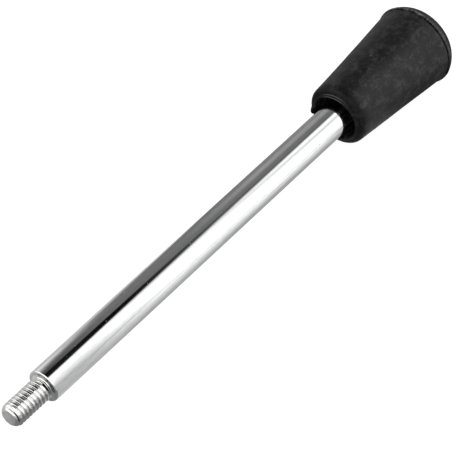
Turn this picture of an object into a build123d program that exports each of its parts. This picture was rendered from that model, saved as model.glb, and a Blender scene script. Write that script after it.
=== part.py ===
from build123d import *
import math
import os

# Screw-in operating lever: a plated round bar with a shouldered, threaded stud at one end
# and a tapered moulded hand grip at the other.
#
# Frame: X runs along the bar, from the stud (-X) to the grip (+X). +Z is up.
# Origin: centre of the shoulder seat, the face that bears on the hub the lever is screwed into.
# All lengths are in millimetres.

# ---- driving dimensions -------------------------------------------------
# bar: 7/16 in round, with a 5/16-18 UNC stud cut on one end and a tenon of the same thread on the other
rod_radius = 11.1125 / 2
seat_chamfer = 0.35            # broken edge of the shoulder seat
stud_radius = 7.86 / 2         # crest of the 5/16-18 UNC thread, within its 2A limits
stud_length = 15.0             # seat to tip
stud_tip_radius = 2.75         # flat end of the stud
stud_tip_chamfer = 1.7         # length of the lead-in cone

# grip: tapered moulding, mouth towards the stud
lip_x = 144.45                 # front of the raised lip round the recess
lip_face = (8.1, 8.35)         # inner and outer radius of its narrow front face
lip_foot = (145.1, 8.75)       # where the lip's slope meets the rounded edge of the mouth
recess_mouth_x = 144.75
recess_mouth_radius = 7.9
recess_floor_radius = 7.55     # the recess narrows by its moulding draft
recess_floor_x = 161.0         # the bar's end shoulder and the insert's face meet here
cone_start_x = 147.0
cone_start_radius = 10.93
cone_end_x = 188.8             # the flank stops at the mould's parting line
cone_end_radius = 14.43
cone_hollow = 0.107            # sagitta of the slightly hollow flank
parting_floor = (189.0, 189.2, 14.08)   # groove at the parting line: x, x, radius
parting_edge = (189.34, 14.69)
rim_x = 189.71                 # widest section
rim_radius = 14.85
end_round_1 = 10.282           # radius of the rounding next to the rim
end_turn_1 = (20.1, 39.9)      # degrees, angle of its normal from the radial direction
end_round_2 = 6.5              # tighter rounding towards the end face
end_turn_2 = 82.0              # degrees where the shallow dome takes over

# threaded insert, moulded into the grip
insert_length = 20.0
insert_radius = 6.5            # knurl crests and front collar
insert_root_radius = 6.1       # knurl roots
insert_waist_radius = 5.6      # retention groove between the two knurled bands
insert_collar = 2.0            # plain collar at the front face
insert_band = 7.0              # length of each knurled band
knurl_teeth = 30
insert_hole_depth = 18.5
tenon_length = 17.0            # thread of the bar that is screwed into the insert
tenon_chamfer = 1.0

os.makedirs("parts", exist_ok=True)


def turned(profile_face):
    """Body of revolution about X from a face drawn in XY, with Y as the radius."""
    return revolve(profile_face, axis=Axis.X, revolution_arc=360)


# ---- lever_rod ----------------------------------------------------------
tenon_end = recess_floor_x + tenon_length
rod_outline = Polyline(
    (-stud_length, 0),
    (-stud_length, stud_tip_radius),
    (-stud_length + stud_tip_chamfer, stud_radius),
    (0, stud_radius),
    (0, rod_radius - seat_chamfer),
    (seat_chamfer, rod_radius),
    (recess_floor_x, rod_radius),
    (recess_floor_x, stud_radius),
    (tenon_end - tenon_chamfer, stud_radius),
    (tenon_end, stud_radius - tenon_chamfer * 0.7),
    (tenon_end, 0),
    close=True,
)
lever_rod = turned(make_face(rod_outline))

# ---- threaded_insert ----------------------------------------------------
insert_start = recess_floor_x
insert_end = insert_start + insert_length
waist_length = insert_length - insert_collar - 2 * insert_band


def round_bar(radius, x0, x1):
    """Solid cylinder along X between two stations."""
    return Plane.YZ.offset(x0) * extrude(Circle(radius), amount=x1 - x0)


def knurled_bar(x0, x1):
    """Straight-knurled band: a star outline extruded along X."""
    points = []
    for i in range(knurl_teeth):
        a = 2 * math.pi * i / knurl_teeth
        b = 2 * math.pi * (i + 0.5) / knurl_teeth
        points.append((insert_radius * math.cos(a), insert_radius * math.sin(a)))
        points.append((insert_root_radius * math.cos(b), insert_root_radius * math.sin(b)))
    star = make_face(Polyline(*points, close=True))
    return Plane.YZ.offset(x0) * extrude(star, amount=x1 - x0)


x_band1 = insert_start + insert_collar
x_waist = x_band1 + insert_band
x_band2 = x_waist + waist_length
insert_blank = (
    round_bar(insert_radius, insert_start, x_band1)
    + knurled_bar(x_band1, x_waist)
    + round_bar(insert_waist_radius, x_waist, x_band2)
    + knurled_bar(x_band2, insert_end)
)
insert_hole = round_bar(stud_radius, insert_start, insert_start + insert_hole_depth)
threaded_insert = insert_blank - insert_hole

# ---- grip_body ----------------------------------------------------------
def on_round(centre, radius, degrees):
    """Point on a rounding, at an angle from the radial direction towards +X."""
    a = math.radians(degrees)
    return (centre[0] + radius * math.sin(a), centre[1] + radius * math.cos(a))


def centre_of(point, radius, degrees):
    """Centre of a rounding that passes through a point at the given angle."""
    a = math.radians(degrees)
    return (point[0] - radius * math.sin(a), point[1] - radius * math.cos(a))


start_1, stop_1 = end_turn_1
rim_point = (rim_x, rim_radius)
centre_1 = centre_of(rim_point, end_round_1, start_1)
round_mid = on_round(centre_1, end_round_1, (start_1 + stop_1) / 2)
round_end = on_round(centre_1, end_round_1, stop_1)
centre_2 = centre_of(round_end, end_round_2, stop_1)
shoulder_mid = on_round(centre_2, end_round_2, (stop_1 + end_turn_2) / 2)
dome_edge = on_round(centre_2, end_round_2, end_turn_2)
dome_slope = math.radians(90 - end_turn_2)
dome_sphere = dome_edge[1] / math.sin(dome_slope)
dome_apex_x = dome_edge[0] + dome_sphere * (1 - math.cos(dome_slope))
dome_mid_r = dome_edge[1] * 0.5
dome_mid_x = dome_apex_x - (dome_sphere - math.sqrt(dome_sphere**2 - dome_mid_r**2))

edge_mid = (lip_foot[0] + 0.48, lip_foot[1] + 1.44)
flank_mid = ((cone_start_x + cone_end_x) / 2, (cone_start_radius + cone_end_radius) / 2 - cone_hollow)
rim_rise_mid = ((parting_edge[0] + rim_x) / 2, (parting_edge[1] + rim_radius) / 2 + 0.03)

outline = [
    # recess wall and the raised lip round its mouth
    Line((recess_floor_x, 0), (recess_floor_x, recess_floor_radius)),
    Polyline(
        (recess_floor_x, recess_floor_radius),
        (recess_mouth_x, recess_mouth_radius),
        (lip_x, lip_face[0]),
        (lip_x, lip_face[1]),
        lip_foot,
    ),
    # rounded outer edge of the mouth
    ThreePointArc(lip_foot, edge_mid, (cone_start_x, cone_start_radius)),
    # slightly hollow taper
    ThreePointArc((cone_start_x, cone_start_radius), flank_mid, (cone_end_x, cone_end_radius)),
    # parting-line groove, then the rim
    Polyline(
        (cone_end_x, cone_end_radius),
        (parting_floor[0], parting_floor[2]),
        (parting_floor[1], parting_floor[2]),
        parting_edge,
    ),
    ThreePointArc(parting_edge, rim_rise_mid, rim_point),
    # rounded end and its shallow dome
    ThreePointArc(rim_point, round_mid, round_end),
    ThreePointArc(round_end, shoulder_mid, dome_edge),
    ThreePointArc(dome_edge, (dome_mid_x, dome_mid_r), (dome_apex_x, 0)),
    Line((dome_apex_x, 0), (recess_floor_x, 0)),
]
grip_blank = turned(make_face(Wire([edge for piece in outline for edge in piece.edges()])))
grip_body = grip_blank - insert_blank

# ---- write one STEP per piece ------------------------------------------
for name, shape in (
    ("lever_rod", lever_rod),
    ("threaded_insert", threaded_insert),
    ("grip_body", grip_body),
):
    solids = shape.solids()
    body = solids[0] if len(solids) == 1 else Compound(children=list(solids))
    body.label = name
    export_step(body, f"parts/{name}.step")
    box = body.bounding_box()
    print(name, len(solids), "solid(s)", round(body.volume, 2), "mm3", box.min, box.max)

print("overall length", round(dome_apex_x + stud_length, 3), "dome apex", round(dome_apex_x, 3))
for a, b in ((lever_rod, threaded_insert), (lever_rod, grip_body), (threaded_insert, grip_body)):
    shared = a & b
    volume = shared.volume if shared is not None and hasattr(shared, "volume") else 0.0
    print("shared volume", round(volume, 6))
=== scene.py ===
import math

import bmesh
import bpy
from mathutils import Matrix, Vector, noise


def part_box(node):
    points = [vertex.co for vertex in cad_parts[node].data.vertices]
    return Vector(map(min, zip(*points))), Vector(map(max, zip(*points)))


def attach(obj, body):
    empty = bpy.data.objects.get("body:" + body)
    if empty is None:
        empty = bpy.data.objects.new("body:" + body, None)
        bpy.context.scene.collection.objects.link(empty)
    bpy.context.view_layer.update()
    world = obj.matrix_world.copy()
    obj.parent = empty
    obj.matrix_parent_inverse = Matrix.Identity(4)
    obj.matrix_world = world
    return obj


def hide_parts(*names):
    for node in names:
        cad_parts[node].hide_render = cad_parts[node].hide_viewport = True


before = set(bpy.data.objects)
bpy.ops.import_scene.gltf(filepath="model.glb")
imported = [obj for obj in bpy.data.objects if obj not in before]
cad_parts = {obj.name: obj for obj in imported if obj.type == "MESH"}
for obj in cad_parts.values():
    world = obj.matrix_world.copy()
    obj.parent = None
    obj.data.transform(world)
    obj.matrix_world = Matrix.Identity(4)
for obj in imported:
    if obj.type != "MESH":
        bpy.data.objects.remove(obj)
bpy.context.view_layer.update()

# ------------------------------------------------------------------ sizes, in metres, taken from the CAD frame
MM = 0.001
rod_low, rod_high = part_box("lever_rod")
grip_low, grip_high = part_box("grip_body")
insert_low, insert_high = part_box("threaded_insert")

ROD_R = rod_high.z / MM                 # bar radius, mm
TIP_X = rod_low.x / MM                  # stud tip
TENON_END_X = rod_high.x / MM
MOUTH_X = 145.1                         # foot of the lip, where the rounded edge of the mouth starts
LIP_X = grip_low.x / MM                 # front of the raised lip round the recess
FLOOR_X = insert_low.x / MM             # bottom of the recess, where the bar's end shoulder sits
RIM_R = grip_high.z / MM
APEX_X = grip_high.x / MM

PITCH = 25.4 / 18                       # 5/16-18 UNC
CREST_R = 3.93
ROOT_R = 3.44
TIP_FACE_R = 2.75
TIP_CONE = 1.7


# ------------------------------------------------------------------ mesh helpers
def new_object(name, mesh):
    ob = bpy.data.objects.new(name, mesh)
    bpy.context.scene.collection.objects.link(ob)
    return ob


def ring_mesh(name, rings, segments, sharp=(), cap_start=None, cap_end=None, closed=False, slots=None):
    """Skin of revolution about X. rings is a list of functions of the angle giving (x, r) in mm.
    sharp holds ring numbers whose edges stay crisp. A cap is an x value for a centre vertex.
    slots gives the material number of the band after each ring."""
    bm = bmesh.new()
    grid = []
    for ring in rings:
        row = []
        for j in range(segments):
            a = 2 * math.pi * j / segments
            x, r = ring(a)
            row.append(bm.verts.new((x * MM, r * math.cos(a) * MM, r * math.sin(a) * MM)))
        grid.append(row)
    count = len(rings)
    last = count if closed else count - 1
    for i in range(last):
        k = (i + 1) % count
        for j in range(segments):
            n = (j + 1) % segments
            f = bm.faces.new((grid[i][j], grid[i][n], grid[k][n], grid[k][j]))
            f.smooth = True
            if slots:
                f.material_index = slots[i]
    for cap, i, flip in ((cap_start, 0, True), (cap_end, count - 1, False)):
        if cap is None:
            continue
        c = bm.verts.new((cap * MM, 0, 0))
        for j in range(segments):
            n = (j + 1) % segments
            tri = (grid[i][j], c, grid[i][n]) if flip else (grid[i][j], grid[i][n], c)
            f = bm.faces.new(tri)
            f.smooth = True
            if slots:
                f.material_index = slots[i - 1] if i else slots[0]
    bm.normal_update()
    bmesh.ops.recalc_face_normals(bm, faces=bm.faces)
    for i in sharp:
        for j in range(segments):
            e = bm.edges.get((grid[i][j], grid[i][(j + 1) % segments]))
            if e:
                e.smooth = False
    me = bpy.data.meshes.new(name)
    bm.to_mesh(me)
    bm.free()
    return new_object(name, me)


def plain(x, r):
    return lambda a: (x, r)


def smoothstep(t):
    t = max(0.0, min(1.0, t))
    return t * t * (3 - 2 * t)


def thread_radius(x, a, origin, crest, root):
    """Radius of a right-hand 60 degree thread with a rounded crest and a soft flat root."""
    u = ((x - origin) / PITCH - a / (2 * math.pi)) % 1.0
    d = abs(u - 0.5) * 2                # 1 on the crest line, 0 in the root
    flat_root, flat_crest = 0.12, 0.66
    k = (d - flat_root) / (flat_crest - flat_root)
    k = max(0.0, min(1.0, k))
    soft = k * 0.45 + smoothstep(k) * 0.55
    return root + (crest - root) * soft


# ------------------------------------------------------------------ bar with its threaded stud and tenon
def build_bar():
    rings, slots, sharp = [], [], []

    def add(fn, slot, is_sharp=False):
        if is_sharp:
            sharp.append(len(rings))
        rings.append(fn)
        slots.append(slot)

    def uneven(x, r, amount):
        """A ring whose radius wanders a little, as cut and plated steel does."""
        def ring(a):
            return x, r + amount * noise.noise(Vector((x * 2.0, math.cos(a) * 2.4, math.sin(a) * 2.4)))
        return ring

    BAR, STUD, FACE = 0, 1, 2
    # flat tip, with a rolled edge into the lead-in cone
    for r in (0.9, 1.7, 2.3):
        add(plain(TIP_X, r), FACE)
    add(uneven(TIP_X + 0.005, TIP_FACE_R - 0.16, 0.05), FACE)
    add(uneven(TIP_X + 0.06, TIP_FACE_R - 0.03, 0.07), STUD)
    # thread, with a lead-in cone at the tip and a run-out into the undercut at the seat
    cut_start, cut_end, cut_r, collar_r = -1.38, -0.86, 2.95, 3.42
    x0, x1 = TIP_X + 0.13, cut_start
    rows = 320
    for i in range(rows + 1):
        x = x0 + (x1 - x0) * i / rows

        def ring(a, x=x):
            r = thread_radius(x, a, 0.14, CREST_R, ROOT_R)
            c, w = math.cos(a), math.sin(a)
            along = x - TIP_X
            if along < 0.62:
                cone = TIP_FACE_R + 1.083 * along
            else:
                cone = 3.42 + (CREST_R - 0.02 - 3.42) * min(1.0, (along - 0.62) / (TIP_CONE - 0.62))
            lead = smoothstep((along - 0.62) / 0.45)
            # the thread starts with a short groove across the lead-in cone
            near = math.exp(-((along - 0.78 + 0.12 * math.cos(a - 2.4)) / 0.13) ** 2)
            cone -= 0.30 * near * smoothstep((math.cos(a - 2.45) - 0.35) / 0.4)
            r = min(r, cone)
            if lead < 1:
                r = cone + (r - cone) * lead
            ragged = 0.055 * noise.noise(Vector((x * 1.6, c * 1.9, w * 1.9)))
            ragged += 0.030 * noise.noise(Vector((x * 4.5 + 7, c * 6.0, w * 6.0)))
            r = min(CREST_R, r + ragged * (0.4 + 0.6 * lead))
            run_out = smoothstep((x - (cut_start - 0.28)) / 0.28)
            return x, r + (cut_r - r) * run_out

        add(ring, STUD)
    # undercut, collar, fillet and the shoulder seat with its broken edge
    add(uneven(cut_start + 0.10, cut_r - 0.03, 0.05), STUD)
    add(uneven(cut_end - 0.12, cut_r - 0.03, 0.05), STUD)
    add(uneven(cut_end, cut_r + 0.22, 0.06), STUD)
    for x, r in ((-0.80, collar_r - 0.02), (-0.74, collar_r + 0.06), (-0.66, collar_r + 0.08), (-0.58, collar_r + 0.04),
                 (-0.52, collar_r - 0.08), (-0.47, collar_r - 0.20), (-0.41, collar_r - 0.20), (-0.37, collar_r - 0.02)):
        add(uneven(x, r, 0.05), STUD)
    # wide fillet, concave, up to the seat
    foot_x, foot_r = -0.34, collar_r + 0.08
    for k in (0.0, 0.2, 0.4, 0.6, 0.8, 1.0):
        b = k * math.pi / 2
        add(uneven(foot_x + 0.34 * math.sin(b), foot_r + 0.62 * (1 - math.cos(b)), 0.04 * (1 - k)), STUD)
    edge = 0.42
    for r in (4.3, 4.8, ROD_R - edge - 0.05):
        add(plain(0, r), FACE)
    for k in range(7):
        b = k / 6 * math.pi / 2
        add(plain(edge * (1 - math.cos(b)), ROD_R - edge + edge * math.sin(b)), BAR)
    # the long bar
    add(plain(edge + 0.05, ROD_R), BAR)
    for i in range(1, 33):
        add(plain(edge + (FLOOR_X - edge) * i / 33, ROD_R), BAR)
    add(plain(FLOOR_X - 0.02, ROD_R), BAR)
    add(plain(FLOOR_X, ROD_R), BAR, True)
    # tenon that is screwed into the insert
    add(plain(FLOOR_X, CREST_R - 0.02), STUD, True)
    x0, x1 = FLOOR_X + 0.05, TENON_END_X - 0.05
    rows = 60
    for i in range(rows + 1):
        x = x0 + (x1 - x0) * i / rows

        def ring(a, x=x):
            r = thread_radius(x, a, 0.0, CREST_R, ROOT_R)
            fade = smoothstep((x - FLOOR_X) / 0.8) * smoothstep((TENON_END_X - x) / 1.0)
            base = 3.3
            return x, min(CREST_R - 0.02, base + (r - base) * fade)

        add(ring, STUD)
    add(plain(TENON_END_X, 3.2), STUD, True)
    add(plain(TENON_END_X, 1.5), STUD)
    return ring_mesh("bar_with_stud", rings, 200, sharp, cap_start=TIP_X, cap_end=TENON_END_X, slots=slots)


# ------------------------------------------------------------------ moulded grip
def arc(cx, cr, radius, start, end, steps):
    """Points (x, r) on an arc. Angles in degrees from +X towards +r."""
    pts = []
    for i in range(steps + 1):
        a = math.radians(start + (end - start) * i / steps)
        pts.append((cx + radius * math.cos(a), cr + radius * math.sin(a)))
    return pts


def arc_through(p, m, q, steps):
    """Points on the arc from p through m to q."""
    ax, ay, bx, by = m[0] - p[0], m[1] - p[1], q[0] - p[0], q[1] - p[1]
    d = 2 * (ax * by - ay * bx)
    ux = (by * (ax * ax + ay * ay) - ay * (bx * bx + by * by)) / d
    uy = (ax * (bx * bx + by * by) - bx * (ax * ax + ay * ay)) / d
    cx, cy, radius = p[0] + ux, p[1] + uy, math.hypot(ux, uy)
    a0, a1 = (math.degrees(math.atan2(v[1] - cy, v[0] - cx)) for v in (p, q))
    return arc(cx, cy, radius, a0, a1, steps)


def grip_profile():
    """Section of the grip from the pocket behind the insert, out of the recess, round the lip and along to the end."""
    pts = []
    # pocket that the insert fills
    pts += [(insert_high.x / MM, 3.3), (insert_high.x / MM, 6.51), (FLOOR_X, 6.51)]
    # recess floor and wall, with a small fillet
    pts += [(FLOOR_X, 6.8), (FLOOR_X, 7.05)]
    pts += arc(FLOOR_X - 0.5, 7.05, 0.5, 0, 90, 4)[1:]
    wall_end = LIP_X + 0.34
    for i in range(1, 15):
        k = i / 15
        pts.append((FLOOR_X - 0.5 + (wall_end - FLOOR_X + 0.5) * k, 7.55 + (7.88 - 7.55) * k))
    # raised lip round the recess: narrow front face, a fine ridge, and a slope to its foot
    lip_start = len(pts)
    for dx, r in ((0.30, 7.90), (0.18, 7.96), (0.08, 8.03), (0.02, 8.10), (0.0, 8.17), (0.01, 8.24), (0.03, 8.30),
                  (0.09, 8.34), (0.12, 8.40), (0.12, 8.46), (0.18, 8.52), (0.27, 8.60), (0.36, 8.68), (0.42, 8.73),
                  (0.47, 8.78), (0.51, 8.83), (0.55, 8.88), (0.59, 8.96), (0.62, 9.04), (0.64, 9.10), (0.66, 9.15),
                  (0.68, 9.20)):
        pts.append((LIP_X + dx, r))
    # rounded outer edge of the mouth
    pts += arc_through((MOUTH_X + 0.06, 9.27), (MOUTH_X + 0.56, 10.31), (147.0, 10.93), 14)
    lip_end = len(pts)
    pts += arc_through((147.0, 10.93), (167.9, 12.575), (188.72, 14.422), 44)[1:]
    # parting line: a ragged groove with a lifted edge behind it
    crease = len(pts)
    pts += [(188.82, 14.38), (188.90, 14.14), (188.97, 13.88), (189.10, 13.80), (189.22, 13.88), (189.28, 14.20)]
    crease_end = len(pts)
    pts += [(189.31, 14.58), (189.34, 14.72), (189.40, 14.78), (189.47, 14.81)]
    pts += arc_through((189.54, 14.825), (189.62, 14.838), (189.71, 14.842), 3)
    # rounded end and its shallow dome
    big, small = 10.282, 6.5
    t0, t1, t2 = 20.1, 39.9, 82.0
    cx, cr = 189.71 - big * math.sin(math.radians(t0)), 14.85 - big * math.cos(math.radians(t0))
    pts += [(cx + big * math.sin(math.radians(t)), cr + big * math.cos(math.radians(t)) - 0.008)
            for t in [t0 + (t1 - t0) * i / 9 for i in range(1, 10)]]
    ex, er = cx + big * math.sin(math.radians(t1)), cr + big * math.cos(math.radians(t1))
    cx, cr = ex - small * math.sin(math.radians(t1)), er - small * math.cos(math.radians(t1))
    pts += [(cx + small * math.sin(math.radians(t)), cr + small * math.cos(math.radians(t)) - 0.008)
            for t in [t1 + (t2 - t1) * i / 14 for i in range(1, 15)]]
    edge_r = pts[-1][1]
    sphere = (edge_r ** 2 + (APEX_X - pts[-1][0]) ** 2) / (2 * (APEX_X - pts[-1][0]))
    for i in range(1, 12):
        r = edge_r * (1 - i / 12)
        pts.append((APEX_X - (sphere - math.sqrt(sphere ** 2 - r * r)), r))
    return pts, (lip_start, lip_end), (crease, crease_end)


def build_grip():
    pts, lip, crease = grip_profile()
    rings = []
    for i, (x, r) in enumerate(pts):

        def ring(a, x=x, r=r, i=i):
            c, s = math.cos(a), math.sin(a)
            if i < lip[0]:
                return x, r
            # moulded unevenness: slow radial drift on the outer skin
            d = 0.050 * noise.noise(Vector((x * 0.11, c * 1.3, s * 1.3)))
            d += 0.022 * noise.noise(Vector((x * 0.45, c * 4.0, s * 4.0 + 9)))
            dx = 0.0
            if x > 191:
                d *= max(0.0, 1 - (x - 191) / 2)
            if i < lip[1]:
                # the lip is a little ragged, and a blunt nib of flash stands on the +Y side
                k = min(1.0, max(0.0, (9.4 - r) / 0.5))
                dx -= 0.07 * k * noise.noise(Vector((4.0, c * 5, s * 5)))
                turn = (a + 0.06 + math.pi) % (2 * math.pi) - math.pi
                across = max(0.0, 1 - ((r - 8.55) / 0.68) ** 4) ** 0.5
                nib = max(0.0, 1 - (turn / 0.20) ** 2) ** 0.5
                span = smoothstep((a - 0.85) / 0.3) * smoothstep((2.05 - a) / 0.4)
                ridge = max(0.0, 1 - abs(r - 8.27) / 0.10) + max(0.0, 1 - abs(r - 8.90) / 0.12)
                dx -= 0.07 * span * min(1.0, ridge)
                dx -= 1.80 * across * nib * (1 + 0.10 * noise.noise(Vector((c * 30, s * 30, r * 3))))
            if crease[0] <= i < crease[1]:
                rag = noise.noise(Vector((3.1, c * 9, s * 9))) + 0.7 * noise.noise(Vector((7.7, c * 26, s * 26)))
                d -= 0.10 * max(-0.4, rag)
                dx = 0.13 * rag
            elif crease[1] <= i < crease[1] + 4:
                rag = noise.noise(Vector((3.1, c * 9, s * 9))) + 0.7 * noise.noise(Vector((7.7, c * 26, s * 26)))
                d += 0.03 * noise.noise(Vector((1.7, c * 20, s * 20)))
                dx = 0.08 * rag * (1 - (i - crease[1]) / 4)
            return x + dx, min(RIM_R - 0.004, r + d)

        rings.append(ring)
    slots = [2 if i < lip[0] + 2 else 1 if i < lip[1] - 1 else 0 for i in range(len(rings))]
    return ring_mesh("hand_grip", rings, 240, (), cap_start=insert_high.x / MM, cap_end=APEX_X, slots=slots)


bar = build_bar()
grip = build_grip()

# ------------------------------------------------------------------ node helpers
class Tree:
    """Small helper for building shader node trees."""

    def __init__(self, tree):
        self.t = tree
        tree.nodes.clear()

    def node(self, kind, **props):
        n = self.t.nodes.new(kind)
        for k, v in props.items():
            setattr(n, k, v)
        return n

    def link(self, a, b):
        self.t.links.new(a, b)

    def put(self, socket, value):
        if hasattr(value, "is_output"):
            self.link(value, socket)
        elif value is not None:
            socket.default_value = value

    def math(self, op, a, b=None, c=None, clamp=False):
        n = self.node("ShaderNodeMath", operation=op, use_clamp=clamp)
        for s, v in zip(n.inputs, (a, b, c)):
            self.put(s, v)
        return n.outputs[0]

    def step(self, value, low, high, a=0.0, b=1.0):
        """Smooth change from a to b as value goes from low to high."""
        n = self.node("ShaderNodeMapRange", interpolation_type="SMOOTHSTEP")
        n.clamp = True
        for s, v in zip(("Value", "From Min", "From Max", "To Min", "To Max"), (value, low, high, a, b)):
            self.put(n.inputs[s], v)
        return n.outputs[0]

    def line(self, value, low, high, a, b):
        """Straight change from a to b as value goes from low to high."""
        n = self.node("ShaderNodeMapRange", interpolation_type="LINEAR")
        n.clamp = True
        for s, v in zip(("Value", "From Min", "From Max", "To Min", "To Max"), (value, low, high, a, b)):
            self.put(n.inputs[s], v)
        return n.outputs[0]

    def noise(self, vector, scale, detail=3.0, rough=0.5, distortion=0.0):
        n = self.node("ShaderNodeTexNoise")
        self.put(n.inputs["Vector"], vector)
        for s, v in (("Scale", scale), ("Detail", detail), ("Roughness", rough), ("Distortion", distortion)):
            n.inputs[s].default_value = v
        return n.outputs[0]

    def scaled(self, vector, scale):
        n = self.node("ShaderNodeVectorMath", operation="MULTIPLY")
        self.put(n.inputs[0], vector)
        n.inputs[1].default_value = scale
        return n.outputs[0]

    def ramp(self, fac, stops):
        n = self.node("ShaderNodeValToRGB")
        self.put(n.inputs[0], fac)
        e = n.color_ramp.elements
        while len(e) > 1:
            e.remove(e[-1])
        e[0].position, e[0].color = stops[0][0], stops[0][1]
        for p, c in stops[1:]:
            x = e.new(p)
            x.color = c
        return n.outputs[0]

    def bump(self, height, strength, distance, normal=None):
        n = self.node("ShaderNodeBump")
        n.inputs["Strength"].default_value = strength
        n.inputs["Distance"].default_value = distance
        self.put(n.inputs["Height"], height)
        if normal is not None:
            self.put(n.inputs["Normal"], normal)
        return n.outputs[0]


def material(name):
    m = bpy.data.materials.new(name)
    m.use_nodes = True
    return m, Tree(m.node_tree)


def grey(v, a=1.0):
    return (v, v, v, a)


# ------------------------------------------------------------------ bright plating of the bar
def chrome_material():
    m, t = material("bright_plating")
    out = t.node("ShaderNodeOutputMaterial")
    p = t.node("ShaderNodeBsdfPrincipled")
    t.link(p.outputs[0], out.inputs[0])
    co = t.node("ShaderNodeTexCoord").outputs["Object"]
    p.inputs["Metallic"].default_value = 1.0
    # polishing lines along the bar, a faint cloudiness, and a few small pits and specks in the plating
    lines = t.noise(t.scaled(co, (11.0, 2600.0, 2600.0)), 1.0, 4.0, 0.6)
    cloud = t.noise(co, 55.0, 3.0, 0.55)
    specks = t.step(t.noise(t.scaled(co, (0.6, 1.0, 1.0)), 1300.0, 1.0, 0.4), 0.735, 0.78)
    streaks = t.noise(t.scaled(co, (5.0, 900.0, 900.0)), 1.0, 3.0, 0.6)
    fine = t.noise(t.scaled(co, (45.0, 1700.0, 1700.0)), 1.0, 3.0, 0.6)
    grain = t.noise(t.scaled(co, (420.0, 1500.0, 1500.0)), 1.0, 2.0, 0.6)
    tone = t.math("SUBTRACT", t.math("MULTIPLY_ADD", cloud, 0.06, 0.375), t.math("MULTIPLY", specks, 0.20))
    tone = t.math("MULTIPLY_ADD", streaks, 0.06, tone)
    tone = t.math("MULTIPLY_ADD", fine, 0.14, tone)
    tone = t.math("MULTIPLY_ADD", grain, 0.16, tone)
    tint = t.node("ShaderNodeCombineColor")
    t.link(t.math("MULTIPLY", tone, 0.995), tint.inputs[0])
    t.link(tone, tint.inputs[1])
    t.link(t.math("MULTIPLY", tone, 1.004), tint.inputs[2])
    t.link(tint.outputs[0], p.inputs["Base Color"])
    rough = t.math("ADD", t.math("MULTIPLY_ADD", lines, 0.06, 0.045), t.math("MULTIPLY", specks, 0.35))
    t.link(rough, p.inputs["Roughness"])
    t.link(t.bump(lines, 0.16, 0.00002), p.inputs["Normal"])
    return m


def radius_from_axis(t, co):
    sep = t.node("ShaderNodeSeparateXYZ")
    t.link(co, sep.inputs[0])
    return sep, t.math("SQRT", t.math("ADD", t.math("MULTIPLY", sep.outputs[1], sep.outputs[1]),
                                      t.math("MULTIPLY", sep.outputs[2], sep.outputs[2])))


# ------------------------------------------------------------------ duller plating in the thread
def stud_material():
    m, t = material("thread_plating")
    out = t.node("ShaderNodeOutputMaterial")
    p = t.node("ShaderNodeBsdfPrincipled")
    t.link(p.outputs[0], out.inputs[0])
    co = t.node("ShaderNodeTexCoord").outputs["Object"]
    sep, rad = radius_from_axis(t, co)
    high = t.step(rad, 0.00343, 0.00368)
    wear = t.noise(co, 900.0, 4.0, 0.6)
    patch = t.noise(co, 260.0, 3.0, 0.6)
    # painted shade: darker roots and brighter crests; the lead-in cone and the end by the seat are brightened like the
    # crests
    x = sep.outputs[0]
    high = t.math("MAXIMUM", high, t.step(x, (TIP_X + 0.72) * MM, (TIP_X + 0.55) * MM))
    seat_end = t.step(x, -0.00150, -0.00138)
    high = t.math("MAXIMUM", high, t.math("MULTIPLY", seat_end, 1.15))
    tone = t.math("ADD", t.math("MULTIPLY_ADD", high, 0.13, 0.39), t.math("MULTIPLY", wear, 0.10))
    tone = t.math("ADD", tone, t.math("MULTIPLY_ADD", patch, 0.16, -0.08))
    # painted shade and dark reflection: black in part of the undercut and of the first groove, on the side facing the
    # camera
    def facing(degrees):
        """1 where the surface looks towards this angle round the axis."""
        c, w = math.cos(math.radians(degrees)), math.sin(math.radians(degrees))
        return t.math("DIVIDE", t.math("ADD", t.math("MULTIPLY", sep.outputs[1], c), t.math("MULTIPLY", sep.outputs[2], w)), rad)

    # painted light: lighter roots on the lower side
    painted_lower_light = t.math("MULTIPLY", t.step(facing(205), 0.30, 0.75), t.math("SUBTRACT", 1.0, high))
    tone = t.math("MULTIPLY_ADD", painted_lower_light, 0.10, tone)
    shade_side = t.step(t.math("MULTIPLY_ADD", wear, 0.08, facing(132)), 0.91, 0.965)
    under = t.math("MULTIPLY", t.step(x, -0.00158, -0.00148), t.step(x, -0.00080, -0.00092))
    corner = t.math("MULTIPLY", t.step(x, -0.00060, -0.00055), t.step(x, -0.00030, -0.00035))
    first = t.math("MULTIPLY", t.step(x, (TIP_X + 0.66) * MM, (TIP_X + 0.74) * MM), t.step(x, (TIP_X + 1.02) * MM, (TIP_X + 0.90) * MM))
    first = t.math("MULTIPLY", first, t.step(facing(144), 0.80, 0.93))
    painted_black = t.math("MAXIMUM", t.math("MULTIPLY", shade_side, t.math("MAXIMUM", under, corner)), first)
    tone = t.math("MULTIPLY", tone, t.math("MULTIPLY_ADD", painted_black, -0.98, 1.0))
    tint = t.node("ShaderNodeCombineColor")
    for i, k in enumerate((1.0, 0.998, 0.992)):
        t.link(t.math("MULTIPLY", tone, k), tint.inputs[i])
    t.link(tint.outputs[0], p.inputs["Base Color"])
    p.inputs["Metallic"].default_value = 1.0
    t.link(t.math("ADD", t.step(rad, 0.0034, 0.0038, 0.13, 0.05), t.math("MULTIPLY", wear, 0.08)), p.inputs["Roughness"])
    n1 = t.bump(t.noise(co, 420.0, 2.0, 0.5), 0.16, 0.00010)
    t.link(t.bump(t.noise(co, 1500.0, 3.0, 0.6), 0.07, 0.00005, n1), p.inputs["Normal"])
    return m


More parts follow.
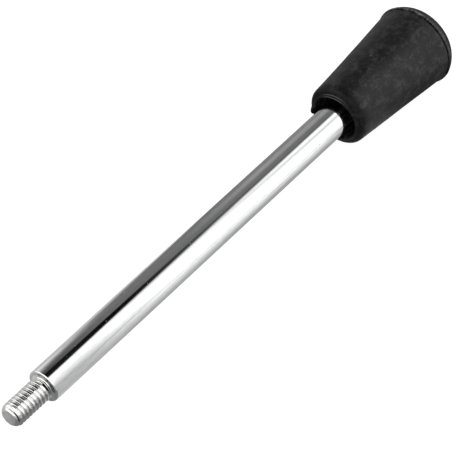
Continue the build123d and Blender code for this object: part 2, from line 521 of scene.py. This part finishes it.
# ------------------------------------------------------------------ faced ends, with turning marks
def face_material():
    m, t = material("faced_plating")
    out = t.node("ShaderNodeOutputMaterial")
    p = t.node("ShaderNodeBsdfPrincipled")
    t.link(p.outputs[0], out.inputs[0])
    co = t.node("ShaderNodeTexCoord").outputs["Object"]
    sep, rad = radius_from_axis(t, co)
    wobble = t.noise(co, 260.0, 2.0, 0.5)
    rings = t.math("SINE", t.math("ADD", t.math("MULTIPLY", rad, 2 * math.pi / 0.00034), t.math("MULTIPLY", wobble, 3.0)))
    stain = t.noise(co, 620.0, 4.0, 0.6)
    blot = t.noise(co, 300.0, 3.0, 0.6)
    tone = t.math("ADD", t.math("MULTIPLY_ADD", stain, 0.26, 0.24), t.math("MULTIPLY", blot, 0.16))
    tint = t.node("ShaderNodeCombineColor")
    for i, k in enumerate((1.0, 0.998, 0.992)):
        t.link(t.math("MULTIPLY", tone, k), tint.inputs[i])
    t.link(tint.outputs[0], p.inputs["Base Color"])
    p.inputs["Metallic"].default_value = 1.0
    t.link(t.math("MULTIPLY_ADD", stain, 0.16, 0.20), p.inputs["Roughness"])
    n1 = t.bump(t.noise(co, 520.0, 2.0, 0.5), 0.4, 0.00008)
    t.link(t.bump(rings, 0.40, 0.000012, n1), p.inputs["Normal"])
    return m


# ------------------------------------------------------------------ black moulding
def grip_material(name, level, specular):
    """level scales the colour and sets a painted light level for each copy; specular is the gloss of the skin; the
    recess is duller than the outside.
    """
    m, t = material(name)
    out = t.node("ShaderNodeOutputMaterial")
    p = t.node("ShaderNodeBsdfPrincipled")
    t.link(p.outputs[0], out.inputs[0])
    co = t.node("ShaderNodeTexCoord").outputs["Object"]
    sep = t.node("ShaderNodeSeparateXYZ")
    t.link(co, sep.inputs[0])
    x = sep.outputs[0]
    flow = t.noise(t.scaled(co, (75.0, 190.0, 190.0)), 1.0, 4.0, 0.6, 0.6)
    streak = t.noise(t.scaled(co, (95.0, 620.0, 620.0)), 1.0, 4.0, 0.65, 0.4)
    cloud = t.noise(co, 330.0, 4.0, 0.65)
    grain = t.noise(co, 1250.0, 3.0, 0.6)
    dust = t.step(t.noise(co, 1500.0, 1.0, 0.3), 0.74, 0.79)
    # mottled skin: scuffs of several sizes, streaks along the flow of the material
    mottle = t.math("ADD", t.math("MULTIPLY", cloud, 0.50), t.math("MULTIPLY", grain, 0.28))
    mottle = t.math("ADD", mottle, t.math("MULTIPLY", streak, 0.22))
    lo, mid, hi = 0.0003 * level, 0.0032 * level, 0.0190 * level
    tone = t.ramp(mottle, [(0.39, (lo, lo, lo * 1.04, 1)), (0.50, (mid, mid, mid * 1.04, 1)), (0.61, (hi, hi, hi * 1.02, 1))])
    # painted shade: darker towards the lip and on the end dome
    painted_shade_factor = t.step(t.math("MULTIPLY_ADD", flow, 0.0030, x), 0.1470, 0.1500, 0.50, 1.0)
    painted_shade_factor = t.math("MULTIPLY", painted_shade_factor, t.step(x, 0.1900, 0.1909, 1.0, 0.5))
    shade = t.node("ShaderNodeVectorMath", operation="SCALE")
    t.link(tone, shade.inputs[0])
    t.link(painted_shade_factor, shade.inputs["Scale"])
    tone = shade.outputs[0]
    # painted highlight: a lighter ragged band on the lifted edge behind the parting line, with scuffed flecks in front
    # of it
    edge_highlight_band = t.math("MULTIPLY", t.step(x, 0.18926, 0.18934), t.step(x, 0.19010, 0.18970))
    edge_highlight_band = t.math("MULTIPLY", edge_highlight_band, t.step(t.noise(co, 700.0, 4.0, 0.7), 0.40, 0.62))
    flecks = t.math("MULTIPLY", t.step(x, 0.1800, 0.1885), t.step(t.noise(co, 800.0, 4.0, 0.75), 0.56, 0.70, 0.0, 0.42))
    # the painted highlight band is strongest on the upper side, and the two fine flash lines on the lip are lightened
    # there as a painted highlight
    turn = t.math("ARCTAN2", sep.outputs[2], sep.outputs[1])
    upper = t.math("MULTIPLY", t.step(turn, 0.2, 0.7), t.step(turn, 2.2, 1.6))
    edge_highlight_band = t.math("MULTIPLY", edge_highlight_band, t.math("MULTIPLY_ADD", upper, 0.55, 0.45))
    yy = t.math("MULTIPLY", sep.outputs[1], sep.outputs[1])
    rad = t.math("SQRT", t.math("MULTIPLY_ADD", sep.outputs[2], sep.outputs[2], yy))
    span = t.math("MULTIPLY", t.step(turn, 0.85, 1.15), t.step(turn, 2.05, 1.65))
    line_1 = t.math("MULTIPLY", t.step(rad, 0.00817, 0.00822), t.step(rad, 0.00837, 0.00832))
    line_2 = t.math("MULTIPLY", t.step(rad, 0.00880, 0.00886), t.step(rad, 0.00902, 0.00896))
    lines = t.math("MULTIPLY", t.math("MAXIMUM", line_1, line_2), t.math("MULTIPLY", span, t.step(x, 0.1462, 0.1458)))
    scuff_and_highlight = t.math("MAXIMUM", t.math("MAXIMUM", edge_highlight_band, flecks), t.math("MULTIPLY", dust, 0.5))
    scuff_and_highlight = t.math("MAXIMUM", scuff_and_highlight, t.math("MULTIPLY", lines, 0.8))
    # the light grey mixed in is the colour of the scuffs and dust, and of the painted highlights
    mixed = t.node("ShaderNodeMix", data_type="RGBA")
    t.link(scuff_and_highlight, mixed.inputs[0])
    t.link(tone, mixed.inputs[6])
    mixed.inputs[7].default_value = (0.080, 0.080, 0.078, 1)
    t.link(mixed.outputs[2], p.inputs["Base Color"])
    rough = t.math("ADD", t.math("MULTIPLY_ADD", flow, 0.30, 0.19), t.math("MULTIPLY", mottle, 0.24))
    t.link(rough, p.inputs["Roughness"])
    n1 = t.bump(flow, 0.50, 0.00040)
    n2 = t.bump(cloud, 0.50, 0.00022, n1)
    n3 = t.bump(grain, 0.55, 0.00012, n2)
    t.link(n3, p.inputs["Normal"])
    t.link(t.math("MULTIPLY", t.step(x, 0.1465, 0.1500, specular * 0.50, specular), t.step(x, 0.1900, 0.1908, 1.0, 0.55)), p.inputs["Specular IOR Level"])
    return m


# ------------------------------------------------------------------ turned and knurled brass
def brass_material():
    m, t = material("insert_brass")
    out = t.node("ShaderNodeOutputMaterial")
    p = t.node("ShaderNodeBsdfPrincipled")
    t.link(p.outputs[0], out.inputs[0])
    co = t.node("ShaderNodeTexCoord").outputs["Object"]
    tarnish = t.noise(co, 420.0, 4.0, 0.6)
    tone = t.ramp(tarnish, [(0.3, (0.42, 0.28, 0.10, 1)), (0.7, (0.70, 0.52, 0.24, 1))])
    t.link(tone, p.inputs["Base Color"])
    p.inputs["Metallic"].default_value = 1.0
    t.link(t.math("MULTIPLY_ADD", tarnish, 0.25, 0.22), p.inputs["Roughness"])
    t.link(t.bump(t.noise(t.scaled(co, (3000.0, 500.0, 500.0)), 1.0, 3.0), 0.3, 0.00004), p.inputs["Normal"])
    return m


chrome, stud_plating, faced, brass = chrome_material(), stud_material(), face_material(), brass_material()
# copies of one moulding with painted light levels: the lip's colour is scaled a little darker, the recess's much
# lighter
black = grip_material("black_moulding", 1.0, 0.20)
lip = grip_material("black_lip", 0.9, 0.20)
recess = grip_material("black_recess", 3.5, 0.08)
for mat in (chrome, stud_plating, faced):
    bar.data.materials.append(mat)
grip.data.materials.append(black)
grip.data.materials.append(lip)
grip.data.materials.append(recess)
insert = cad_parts["threaded_insert"]
for s in insert.material_slots:
    s.material = brass
for o, mat in ((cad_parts["lever_rod"], chrome), (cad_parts["grip_body"], black)):
    for s in o.material_slots:
        s.material = mat

# ------------------------------------------------------------------ what rides on what
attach(bar, "root")
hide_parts("lever_rod")
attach(grip, "root")
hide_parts("grip_body")

# ------------------------------------------------------------------ camera
right = Vector((0.61207, -math.sqrt(1 - 0.61207 ** 2), 0.0))
fx = 0.54702
forward = Vector((fx, fx * 0.61207 / math.sqrt(1 - 0.61207 ** 2), 0.0))
forward.z = -math.sqrt(1 - forward.x ** 2 - forward.y ** 2)
up = right.cross(forward)
roll = 0.0016
right, up = right * math.cos(roll) + up * math.sin(roll), up * math.cos(roll) - right * math.sin(roll)
seat = Vector((-10.2861, 8.0925, 124.5806)) * (ROD_R * MM)      # seat centre: right, down, ahead
place = -(right * seat.x - up * seat.y + forward * seat.z)
cam_data = bpy.data.cameras.new("camera")
cam_data.lens = 178.56
cam_data.sensor_width = 36.0
cam_data.clip_start, cam_data.clip_end = 0.01, 100.0
camera = bpy.data.objects.new("camera", cam_data)
bpy.context.scene.collection.objects.link(camera)
camera.matrix_world = Matrix((
    (right.x, up.x, -forward.x, place.x),
    (right.y, up.y, -forward.y, place.y),
    (right.z, up.z, -forward.z, place.z),
    (0, 0, 0, 1)))
bpy.context.scene.camera = camera

# ------------------------------------------------------------------ floor
floor_z = grip_low.z - 0.0002
bm = bmesh.new()
for x in (-1, 1):
    for y in (-1, 1):
        bm.verts.new((x * 12.0, y * 12.0, floor_z))
bm.verts.ensure_lookup_table()
bm.faces.new((bm.verts[0], bm.verts[2], bm.verts[3], bm.verts[1]))
me = bpy.data.meshes.new("floor")
bm.to_mesh(me)
bm.free()
floor = new_object("floor", me)
m, t = material("floor_paper")
out = t.node("ShaderNodeOutputMaterial")
sep = t.node("ShaderNodeSeparateXYZ")
t.link(t.node("ShaderNodeNewGeometry").outputs["Position"], sep.inputs[0])
px = t.math("MULTIPLY", sep.outputs[0], 1 / MM)
py = t.math("MULTIPLY", sep.outputs[1], 1 / MM)
out_y = t.math("ABSOLUTE", py)
# painted light: for reflected rays the paper glows with a painted pattern, a shaded strip where the object lies and a
# bright table beyond it
along = t.math("SUBTRACT", px, t.math("MULTIPLY", out_y, 0.60))
near_side = t.step(out_y, 2.0, 60.0, 0.69, 0.79)
sharper = t.step(along, 60.0, 110.0)
far_side = t.math("ADD",
                  t.step(out_y, t.math("MULTIPLY_ADD", sharper, 6.0, 2.0), t.math("MULTIPLY_ADD", sharper, -4.0, 34.0), 0.50, 1.105),
                  t.step(out_y, 27.0, 64.0, 0.0, t.math("MULTIPLY_ADD", sharper, 0.10, 0.40)))
# contact shade beside the grip
far_side = t.math("MULTIPLY", far_side, t.math("SUBTRACT", 1.0, t.math("MULTIPLY", t.step(px, 158.0, 178.0), t.step(out_y, 75.0, 20.0, 0.0, 0.75))))
blend = t.step(along, 2.0, 48.0)
front = t.math("ADD", t.math("MULTIPLY", near_side, t.math("SUBTRACT", 1.0, blend)), t.math("MULTIPLY", far_side, blend))
tip_shade = t.math("MULTIPLY", t.step(px, -95.0, -60.0), t.math("SUBTRACT", 1.0, t.step(along, -8.0, -2.0)))
tip_shade = t.math("MULTIPLY", tip_shade, t.step(out_y, 80.0, 50.0))
front_tip = t.math("ADD", t.math("MULTIPLY", front, t.math("SUBTRACT", 1.0, tip_shade)), t.math("MULTIPLY", tip_shade, 0.30))
front_far = t.step(px, -95.0, -60.0, 0.55, 0.0)
front_all = t.math("MAXIMUM", front_tip, front_far)
back = t.math("ADD", t.step(along, 10.0, 50.0, 0.78, 0.23), t.step(along, 70.0, 120.0, 0.0, 0.08))
back = t.math("ADD", back, t.math("MULTIPLY", t.step(along, 134.0, 150.0, 0.0, 0.10), t.step(py, 35.0, 60.0)))
patch = t.math("MULTIPLY", t.step(px, 10.0, 30.0), t.step(px, 115.0, 90.0))
patch = t.math("MULTIPLY", patch, t.math("MULTIPLY", t.step(py, 18.0, 34.0), t.step(py, 95.0, 75.0)))
back = t.math("MAXIMUM", back, t.math("MULTIPLY", patch, 0.80))
back = t.math("MULTIPLY", back, t.step(py, 0.0, 14.0, 0.40, 1.0))
side = t.step(py, -1.0, 3.0)
paper = t.math("ADD", t.math("MULTIPLY", front_all, t.math("SUBTRACT", 1.0, side)), t.math("MULTIPLY", back, side))
painted_floor_light = t.node("ShaderNodeEmission")
painted_floor_light.inputs["Color"].default_value = grey(1.0)
t.link(paper, painted_floor_light.inputs["Strength"])
seen = t.node("ShaderNodeAddShader")
d = t.node("ShaderNodeBsdfDiffuse")
d.inputs["Color"].default_value = grey(0.22)
glow = t.node("ShaderNodeEmission")
glow.inputs["Color"].default_value = grey(1.0)
glow.inputs["Strength"].default_value = 0.86
t.link(d.outputs[0], seen.inputs[0])
t.link(glow.outputs[0], seen.inputs[1])
pick = t.node("ShaderNodeMixShader")
t.link(t.node("ShaderNodeLightPath").outputs["Is Camera Ray"], pick.inputs[0])
t.link(painted_floor_light.outputs[0], pick.inputs[1])
t.link(seen.outputs[0], pick.inputs[2])
t.link(pick.outputs[0], out.inputs[0])
floor.data.materials.append(m)

# ------------------------------------------------------------------ soft studio light: a procedural light tent round the object
world = bpy.data.worlds.new("light_tent")
bpy.context.scene.world = world
world.use_nodes = True
t = Tree(world.node_tree)
out = t.node("ShaderNodeOutputWorld")
bg = t.node("ShaderNodeBackground")
t.link(bg.outputs[0], out.inputs[0])
sep = t.node("ShaderNodeSeparateXYZ")
t.link(t.node("ShaderNodeTexCoord").outputs["Generated"], sep.inputs[0])
dx, dy, dz = sep.outputs
# angle round the bar's axis in degrees: 0 towards +Y, 90 straight up, 180 towards -Y
alpha = t.math("MULTIPLY", t.math("ARCTAN2", dz, dy), 180 / math.pi)


def times(*values):
    r = values[0]
    for v in values[1:]:
        r = t.math("MULTIPLY", r, v)
    return r


def less(value):
    return t.math("SUBTRACT", 1.0, value)


def hump(value, centre, half, soft):
    """1 within half of the centre, falling smoothly to 0 over soft."""
    off = t.math("SUBTRACT", t.math("ABSOLUTE", t.math("SUBTRACT", value, centre)), half)
    return less(t.step(off, 0.0, soft))


# big white panel on the camera's side; it dims evenly towards the horizon, sooner near the stud's end
start = t.math("ADD", t.step(dx, 0.45, 0.52, 98.0, 87.5), t.line(dx, 0.53, 0.60, 0.0, -4.0))
stop = t.step(dx, 0.45, 0.60, 109.0, 106.0)
slow = hump(dx, 0.514, 0.01, 0.05)
rise = t.math("ADD", times(t.step(alpha, start, stop), t.math("MULTIPLY_ADD", slow, -1.15, 2.25)),
              times(t.step(alpha, 98.0, 130.0), slow, 1.15))
fade_from = t.step(dx, 0.455, 0.545, 93.5, 167.3)
level = t.line(t.math("SUBTRACT", alpha, fade_from), -14.0, 90.0, 1.0, 0.178)
over_stud = less(t.step(dx, 0.4490, 0.4560))
level = t.math("ADD", times(level, less(over_stud)), times(t.step(alpha, 136.0, 172.0, 1.0, 0.28), over_stud))
panel = times(rise, level)
# soft fold in the panel towards the grip's end
fold_at = t.line(dx, 0.549, 0.591, 107.7, 120.4)
fold = times(hump(alpha, fold_at, 0.0, 22.0), t.step(dx, 0.528, 0.570, 0.0, 0.62))
panel = times(panel, less(fold), t.step(dx, 0.605, 0.64, 1.0, 1.15))
# grey wall behind, with a paler patch towards the grip's end
wall = t.math("ADD", t.step(dx, 0.46, 0.50, 0.15, 0.25), times(hump(alpha, 30.0, 6.0, 28.0), t.step(dx, 0.52, 0.575), t.step(dx, 0.605, 0.635, 0.24, 0.0)))
# low white card behind the stud's end
card_end = t.step(dx, 0.450, 0.460, 57.0, 42.0)
card = times(less(t.step(alpha, t.math("ADD", card_end, t.step(dx, 0.450, 0.460, -18.0, -36.0)), card_end)), less(t.step(dx, 0.460, 0.492)), 1.10)
# bright again beyond the grip's end
far_end = times(t.step(dx, 0.66, 0.74), t.step(alpha, 88.0, 70.0), 0.25)
far_end = t.math("ADD", far_end, times(t.step(dx, 0.75, 0.85), hump(alpha, 76.0, 26.0, 14.0), 0.8))
base = t.math("ADD", panel, t.math("ADD", t.math("ADD", wall, card), far_end))
# black gap in the roof, closing towards +X
# and opening wide over the stud
half = t.math("ADD", t.step(dx, 0.47, 0.575, 10.5, 0.0), t.step(dx, 0.451, 0.461, 8.5, 0.0))
centre = t.step(dx, 0.451, 0.461, 76.0, 83.5)
deeper = t.math("MULTIPLY_ADD", hump(dx, 0.505, 0.008, 0.030), 0.12, t.step(dx, 0.451, 0.461, 1.09, 1.0))
gap = times(hump(alpha, centre, half, 9.0), t.step(dx, 0.50, 0.575, 0.91, 0.25), deeper)
tent = times(base, less(gap))
# front of the tent, beyond the tip of the stud
front = times(t.step(alpha, -2.0, 24.0, 1.5, 2.1), t.step(alpha, 148.0, 172.0, 1.0, 0.25))
ahead = less(t.step(dx, -0.30, 0.10))
light = t.math("ADD", times(tent, less(ahead)), times(front, ahead))
bg.inputs["Color"].default_value = grey(1.0)
is_cam = t.node("ShaderNodeLightPath").outputs["Is Camera Ray"]
mix = t.node("ShaderNodeMix", data_type="FLOAT")
t.link(is_cam, mix.inputs[0])
t.link(light, mix.inputs[2])
mix.inputs[3].default_value = 0.97
t.link(mix.outputs[0], bg.inputs["Strength"])

scene = bpy.context.scene
scene.view_settings.view_transform = "Standard"
scene.view_settings.look = "None"
scene.view_settings.exposure = 0.0
scene.view_settings.gamma = 1.0
